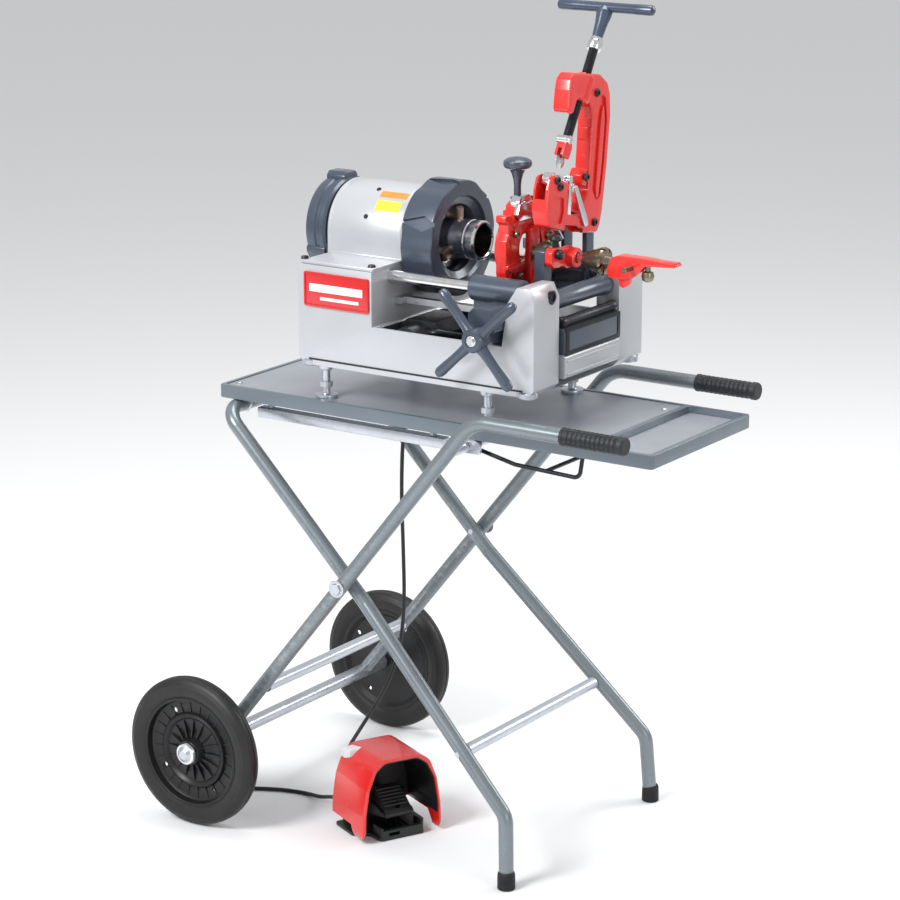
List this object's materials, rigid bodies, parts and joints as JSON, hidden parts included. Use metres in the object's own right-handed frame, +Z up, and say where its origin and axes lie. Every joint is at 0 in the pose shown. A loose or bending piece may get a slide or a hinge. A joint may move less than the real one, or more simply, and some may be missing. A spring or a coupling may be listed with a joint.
{
  "type": "pipe threading machine",
  "caption": "Pipe threading machine with chuck, die head, reamer and cutter on a folding wheeled stand, with a foot switch and cords.",
  "frame": {"origin": "on the floor under the middle of the stand's and machine's box", "axes": "+Z up; +X from the wheels to the handles, along the spindle; +Y away from the handwheel side"},
  "size_m": [1.083, 0.734, 1.5989],
  "materials": {
    "frame_paint": "satin blue-grey metallic paint",
    "frame_zinc": "bright zinc plate",
    "table_paint": "satin blue-grey paint",
    "black_rubber": "matt black rubber",
    "grip_rubber": "textured dark grip",
    "tyre_rubber": "matt black tread",
    "wheel_plastic": "moulded black plastic",
    "cast_grey": "light grey enamel on a casting",
    "plaque_red": "gloss red plate",
    "dark_casting": "dark blue-grey enamel",
    "tool_red": "bright red enamel",
    "hood_red": "gloss red moulding",
    "bright_steel": "polished steel",
    "machined_steel": "machined steel",
    "brass_bush": "bearing bronze",
    "cord_rubber": "black cord jacket",
    "black_plastic": "black moulding"
  },
  "bodies": {
    "root": {"table_top": "table_paint", "support_rails": "frame_zinc", "machine_base": "cast_grey", "levelling_feet": "frame_zinc", "guide_rods": "bright_steel", "carriage_rack": "machined_steel", "front_plaque": "plaque_red", "oil_pump": "machined_steel", "headstock_housing": "cast_grey", "spindle_bearings": "brass_bush", "motor": "machined_steel", "pedal_guard": "hood_red", "pedal_base": "black_plastic", "cord_glands": "black_plastic", "machine_cord": "cord_rubber", "mains_cord": "cord_rubber", "mains_coil": "cord_rubber", "mains_plug": "black_plastic"},
    "tray": {"chip_tray": "dark_casting"},
    "spindle": {"spindle_tube": "bright_steel", "drive_gear": "machined_steel", "chuck_body": "bright_steel", "rear_jaws": "machined_steel"},
    "motor_shaft": {"motor_pinion": "machined_steel"},
    "front_ring": {"chuck_ring": "dark_casting"},
    "jaw_1": {"chuck_jaw_1": "machined_steel"},
    "jaw_2": {"chuck_jaw_2": "machined_steel"},
    "jaw_3": {"chuck_jaw_3": "machined_steel"},
    "back_ring": {"rear_ring": "dark_casting"},
    "carriage": {"carriage": "dark_casting"},
    "handwheel": {"handwheel": "dark_casting", "handwheel_shaft": "machined_steel"},
    "die_head": {"die_head": "tool_red", "thread_dies": "machined_steel"},
    "die_lever": {"die_lever": "dark_casting"},
    "reamer_arm": {"reamer_arm": "tool_red"},
    "reamer": {"reamer_bar": "bright_steel", "reamer_cone": "machined_steel"},
    "cutter": {"cutter_frame": "tool_red"},
    "roller_1": {"cutter_roller_1": "bright_steel"},
    "roller_2": {"cutter_roller_2": "bright_steel"},
    "cutter_slide": {"cutter_slide": "machined_steel"},
    "cutter_wheel": {"cutter_wheel": "bright_steel"},
    "cutter_screw": {"cutter_screw": "dark_casting"},
    "legs": {"leg_near": "frame_paint", "leg_far": "frame_paint", "leg_crossbars": "frame_zinc", "foot_caps": "black_rubber"},
    "handles": {"handle_tube_near": "frame_paint", "handle_tube_far": "frame_paint", "handle_crossbars": "frame_zinc", "handle_grips": "grip_rubber", "wheel_axle": "frame_zinc"},
    "bail": {"lock_bail": "dark_casting"},
    "wheel_near": {"wheel_near": "wheel_plastic", "tyre_near": "tyre_rubber"},
    "wheel_far": {"wheel_far": "wheel_plastic", "tyre_far": "tyre_rubber"},
    "pedal": {"foot_pedal": "black_plastic"}
  },
  "joints": [
    {"name": "tray_slide", "type": "slide", "parent": "root", "child": "tray", "axis": [1, 0, 0], "range_m": [0, 0.06]},
    {"name": "spindle_turn", "type": "hinge", "parent": "root", "child": "spindle", "pos_m": [0, 0, 1.158], "axis": [1, 0, 0], "continuous": true},
    {"name": "pinion_turn", "type": "hinge", "parent": "root", "child": "motor_shaft", "pos_m": [-0.18, 0.04, 1.06853], "axis": [1, 0, 0], "continuous": true},
    {"name": "ring_turn", "type": "hinge", "parent": "spindle", "child": "front_ring", "pos_m": [-0.016, 0, 1.158], "axis": [1, 0, 0], "range_deg": [0, 30]},
    {"name": "jaw_1_slide", "type": "slide", "parent": "spindle", "child": "jaw_1", "axis": [0, 0, 1], "range_m": [-0.008, 0]},
    {"name": "jaw_2_slide", "type": "slide", "parent": "spindle", "child": "jaw_2", "axis": [0, -0.866, -0.5], "range_m": [-0.008, 0]},
    {"name": "jaw_3_slide", "type": "slide", "parent": "spindle", "child": "jaw_3", "axis": [0, 0.866, -0.5], "range_m": [-0.008, 0]},
    {"name": "back_ring_turn", "type": "hinge", "parent": "spindle", "child": "back_ring", "pos_m": [-0.26, 0, 1.158], "axis": [1, 0, 0], "range_deg": [0, 30]},
    {"name": "carriage_slide", "type": "slide", "parent": "root", "child": "carriage", "axis": [1, 0, 0], "range_m": [-0.04, 0]},
    {"name": "handwheel_turn", "type": "hinge", "parent": "carriage", "child": "handwheel", "pos_m": [0.2035, -0.238, 1.03], "axis": [0, 1, 0], "range_deg": [-60, 180]},
    {"name": "die_head_lift", "type": "hinge", "parent": "carriage", "child": "die_head", "pos_m": [0.152, 0.118, 1.176], "axis": [-1, 0, 0], "range_deg": [0, 80]},
    {"name": "cam_lever_turn", "type": "hinge", "parent": "die_head", "child": "die_lever", "pos_m": [0.152, -0.02, 1.24], "axis": [0, 0, 1], "range_deg": [-45, 45]},
    {"name": "reamer_swing", "type": "hinge", "parent": "carriage", "child": "reamer_arm", "pos_m": [0.24, -0.052, 1.156], "axis": [1, 0, 0], "range_deg": [0, 6]},
    {"name": "reamer_slide", "type": "slide", "parent": "reamer_arm", "child": "reamer", "axis": [1, 0, 0], "range_m": [-0.003, 0.018]},
    {"name": "cutter_swing", "type": "hinge", "parent": "carriage", "child": "cutter", "pos_m": [0.226, 0.104, 1.196], "axis": [1, 0, 0], "range_deg": [-25, 0]},
    {"name": "roller_1_turn", "type": "hinge", "parent": "cutter", "child": "roller_1", "pos_m": [0.226, 0.00099, 1.27596], "axis": [1, 0, 0], "continuous": true},
    {"name": "roller_2_turn", "type": "hinge", "parent": "cutter", "child": "roller_2", "pos_m": [0.226, -0.0283, 1.29321], "axis": [1, 0, 0], "continuous": true},
    {"name": "cutter_screw_turn", "type": "hinge", "parent": "cutter", "child": "cutter_screw", "pos_m": [0.226, 0.16525, 1.58831], "axis": [0, 0.5075, 0.8616], "range_deg": [0, 1080]},
    {"name": "cutter_slide", "type": "slide", "parent": "cutter", "child": "cutter_slide", "axis": [0, -0.5075, -0.8616], "range_m": [0, 0.012]},
    {"name": "cutter_wheel_turn", "type": "hinge", "parent": "cutter_slide", "child": "cutter_wheel", "pos_m": [0.226, 0.00868, 1.3225], "axis": [1, 0, 0], "continuous": true},
    {"name": "leg_fold", "type": "hinge", "parent": "root", "child": "legs", "pos_m": [-0.3915, 0, 0.812], "axis": [0, -1, 0], "range_deg": [0, 33]},
    {"name": "handle_fold", "type": "hinge", "parent": "legs", "child": "handles", "pos_m": [-0.0965, 0, 0.513], "axis": [0, -1, 0], "range_deg": [-75, 1]},
    {"name": "bail_swing", "type": "hinge", "parent": "handles", "child": "bail", "pos_m": [0.1435, 0, 0.808], "axis": [0, 1, 0], "range_deg": [0, 20]},
    {"name": "wheel_near_turn", "type": "hinge", "parent": "handles", "child": "wheel_near", "pos_m": [-0.3915, -0.331, 0.15], "axis": [0, 1, 0], "continuous": true},
    {"name": "wheel_far_turn", "type": "hinge", "parent": "handles", "child": "wheel_far", "pos_m": [-0.3915, 0.331, 0.15], "axis": [0, 1, 0], "continuous": true},
    {"name": "pedal_press", "type": "hinge", "parent": "root", "child": "pedal", "pos_m": [-0.09307, -0.13104, 0.032], "axis": [0.4446, 0.8957, 0], "range_deg": [0, 9], "stiffness_Nm_per_rad": 6, "springref_deg": -5.73}
  ],
  "couplings": [
    {"joint": "pinion_turn", "follows": "spindle_turn", "ratio": -3.95},
    {"joint": "handwheel_turn", "follows": "carriage_slide", "rad_per_m": -66.667},
    {"joint": "handle_fold", "follows": "leg_fold", "ratio": -2.2},
    {"joint": "cutter_slide", "follows": "cutter_screw_turn", "m_per_rad": 0.0006},
    {"joint": "jaw_1_slide", "follows": "ring_turn", "m_per_rad": -0.015279},
    {"joint": "jaw_2_slide", "follows": "ring_turn", "m_per_rad": -0.015279},
    {"joint": "jaw_3_slide", "follows": "ring_turn", "m_per_rad": -0.015279}
  ]
}
